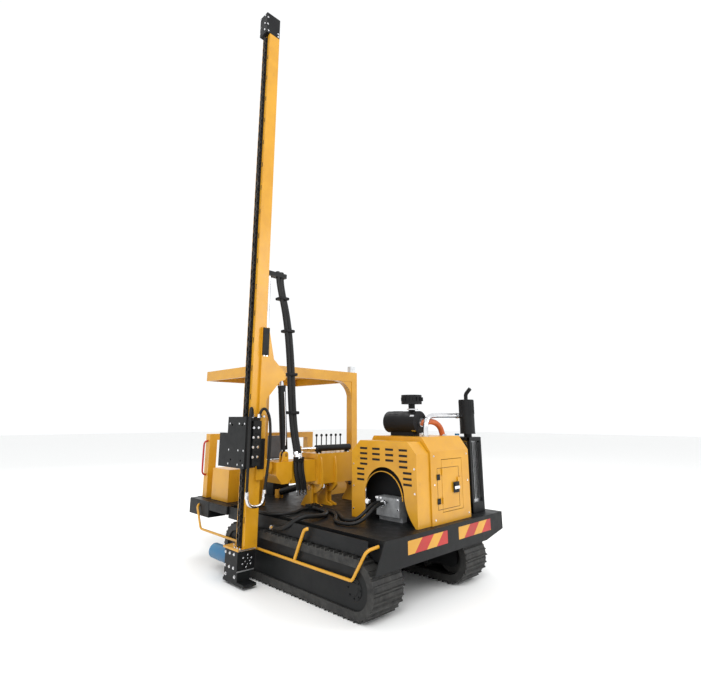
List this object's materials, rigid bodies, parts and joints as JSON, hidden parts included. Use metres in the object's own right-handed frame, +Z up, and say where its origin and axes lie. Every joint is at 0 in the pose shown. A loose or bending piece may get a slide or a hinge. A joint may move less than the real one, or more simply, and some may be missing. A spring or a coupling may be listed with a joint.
{
  "type": "crawler pile driver rig",
  "caption": "Tracked pile driver rig with a tall side mast on a folding beam, an open operator station under a canopy and a rear engine hood.",
  "frame": {"origin": "on the ground under the middle of the bounding box, midway along the machine and midway between its widest points", "axes": "+X forward to the operator end, +Y to the mast side, +Z up"},
  "size_m": [4.014, 2.672, 7.725],
  "materials": {
    "yellow_paint": "satin",
    "black_paint": "satin",
    "track_steel": "worn",
    "chain_steel": "oiled",
    "grey_casting": "cast",
    "bare_aluminium": "satin",
    "chrome": "polished",
    "matte_black": "matte",
    "seat_vinyl": "grained",
    "blue_paint": "satin"
  },
  "bodies": {
    "door": {"hood_door": "yellow_paint"},
    "sleeve": {"beam_sleeve": "yellow_paint", "slide_cylinder_barrel": "black_paint"},
    "beam": {"inner_beam": "yellow_paint", "slide_cylinder_rod": "chrome"},
    "holder": {"mast_holder": "yellow_paint", "holder_pads": "black_paint", "lift_cylinder_barrel": "yellow_paint"},
    "mast_body": {"mast": "yellow_paint", "mast_head": "black_paint", "drive_chain": "chain_steel", "chain_gearbox": "black_paint", "drive_motor": "blue_paint", "mast_foot": "black_paint", "lift_cylinder_rod": "chrome", "mast_hose_bracket": "black_paint"},
    "carriage_body": {"carriage": "black_paint", "carriage_plate": "black_paint", "carriage_valve": "black_paint"},
    "fold_barrel": {"fold_cylinder_barrel": "black_paint"},
    "fold_rod": {"fold_cylinder_rod": "chrome"},
    "tilt_barrel": {"tilt_cylinder_barrel": "black_paint"},
    "tilt_rod": {"tilt_cylinder_rod": "chrome"},
    "chassis": {"air_filter": "matte_black", "beam_stand": "yellow_paint", "canopy_lamp": "bare_aluminium", "canopy_post_left": "yellow_paint", "canopy_post_right": "yellow_paint", "canopy_roof": "yellow_paint", "control_console": "yellow_paint", "control_levers": "black_paint", "cooler": "bare_aluminium", "deck": "black_paint", "engine_block": "black_paint", "exhaust_pipe": "chrome", "fold_cylinder_bracket": "yellow_paint", "front_guard": "yellow_paint", "hood_left": "yellow_paint", "hood_main": "yellow_paint", "hydraulic_pump": "grey_casting", "left_track": "track_steel", "left_track_frame": "black_paint", "left_track_wheels": "track_steel", "muffler": "black_paint", "right_track": "track_steel", "right_track_frame": "black_paint", "right_track_wheels": "track_steel", "seat_back": "seat_vinyl", "seat_base": "black_paint", "seat_cushion": "seat_vinyl", "side_guard": "yellow_paint", "tool_box": "yellow_paint", "undercarriage_frame": "black_paint"}
  },
  "joints": [
    {"name": "mast_fold", "type": "hinge", "parent": "chassis", "child": "sleeve", "pos_m": [-0.103, -0.244, 0.94], "axis": [0, -1, 0], "range_deg": [0, 90]},
    {"name": "beam_slide", "type": "slide", "parent": "sleeve", "child": "beam", "axis": [0, 1, 0], "range_m": [0, 0.3]},
    {"name": "mast_tilt", "type": "hinge", "parent": "beam", "child": "holder", "pos_m": [-0.103, 0.94, 1.25], "axis": [-1, 0, 0], "range_deg": [-10, 1]},
    {"name": "mast_lift", "type": "slide", "parent": "holder", "child": "mast_body", "axis": [0, 0, 1], "range_m": [0, 0.6]},
    {"name": "carriage_slide", "type": "slide", "parent": "mast_body", "child": "carriage_body", "axis": [0, 0, 1], "range_m": [-0.75, 5.2]},
    {"name": "hood_door_hinge", "type": "hinge", "parent": "chassis", "child": "door", "pos_m": [-1.937, -0.206, 1.1], "axis": [0, 0, -1], "range_deg": [0, 110]},
    {"name": "fold_cylinder_swing", "type": "hinge", "parent": "chassis", "child": "fold_barrel", "pos_m": [0.76, 0.06, 0.78], "axis": [0, -1, 0], "range_deg": [-14.54, 0.5]},
    {"name": "fold_cylinder_stroke", "type": "slide", "parent": "fold_barrel", "child": "fold_rod", "axis": [-0.9684, 0, 0.2494], "range_m": [-0.005, 0.3884]},
    {"name": "tilt_cylinder_swing", "type": "hinge", "parent": "beam", "child": "tilt_barrel", "pos_m": [-0.189, 0.696, 1.385], "axis": [-1, 0, 0], "range_deg": [-11.78, 1.45]},
    {"name": "tilt_cylinder_stroke", "type": "slide", "parent": "tilt_barrel", "child": "tilt_rod", "axis": [0, 0.0835, 0.9965], "range_m": [-0.0441, 0.0062]}
  ],
  "couplings": [
    {"joint": "fold_cylinder_swing", "follows": "mast_fold", "ratio": -0.15595},
    {"joint": "fold_cylinder_stroke", "follows": "mast_fold", "m_per_rad": 0.24405},
    {"joint": "tilt_cylinder_swing", "follows": "mast_tilt", "ratio": 1.1482},
    {"joint": "tilt_cylinder_stroke", "follows": "mast_tilt", "m_per_rad": 0.24144}
  ]
}
